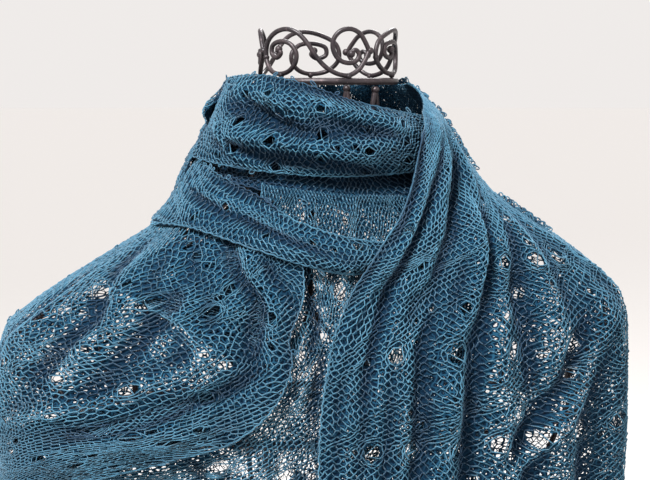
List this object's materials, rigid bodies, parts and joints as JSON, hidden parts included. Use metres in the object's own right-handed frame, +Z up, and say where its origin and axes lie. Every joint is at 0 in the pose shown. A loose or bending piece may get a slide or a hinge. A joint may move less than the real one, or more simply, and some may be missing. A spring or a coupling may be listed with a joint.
{
  "type": "lace shawl on a wire dress form",
  "caption": "Sheer openwork shawl wrapped round the neck and shoulders of an open wire dress form, its layers swagged at the chest and hanging in soft folds.",
  "frame": {"origin": "on the floor, under the middle of the whole", "axes": "+Z up, -Y the front, +X the wearer's left, which is the picture's right"},
  "size_m": [0.4476, 0.267, 0.6369],
  "materials": {
    "lace": "matte openwork of fine teal blue yarn",
    "iron": "dark bronze lacquer, worn satin"
  },
  "bodies": {
    "root": {"foot_ring": "iron", "neck_ring": "iron", "yoke_hoop": "iron", "bust_hoop": "iron", "waist_hoop": "iron", "crown_panel_1": "iron", "neck_brace_1": "iron", "crown_panel_2": "iron", "neck_brace_2": "iron", "crown_panel_3": "iron", "neck_brace_3": "iron", "rib_front_1": "iron", "rib_front_2": "iron", "rib_front_3": "iron", "rib_front_4": "iron", "rib_side_1": "iron", "rib_side_2": "iron", "rib_back_1": "iron", "rib_back_2": "iron", "rib_back_3": "iron", "rib_back_4": "iron", "rib_shoulder_1": "iron", "rib_shoulder_2": "iron", "rib_chest_1": "iron", "rib_chest_2": "iron", "chest_brace_left": "iron", "chest_brace_right": "iron", "armhole_left": "iron", "shoulder_wire_left": "iron", "armhole_right": "iron", "shoulder_wire_right": "iron", "back": "lace", "centre_front": "lace", "left_underfold": "lace", "left_front": "lace", "right_front": "lace", "swag_band": "lace", "neck_wrap_inner": "lace", "neck_wrap_front": "lace", "neck_wrap_back": "lace"}
  },
  "joints": []
}
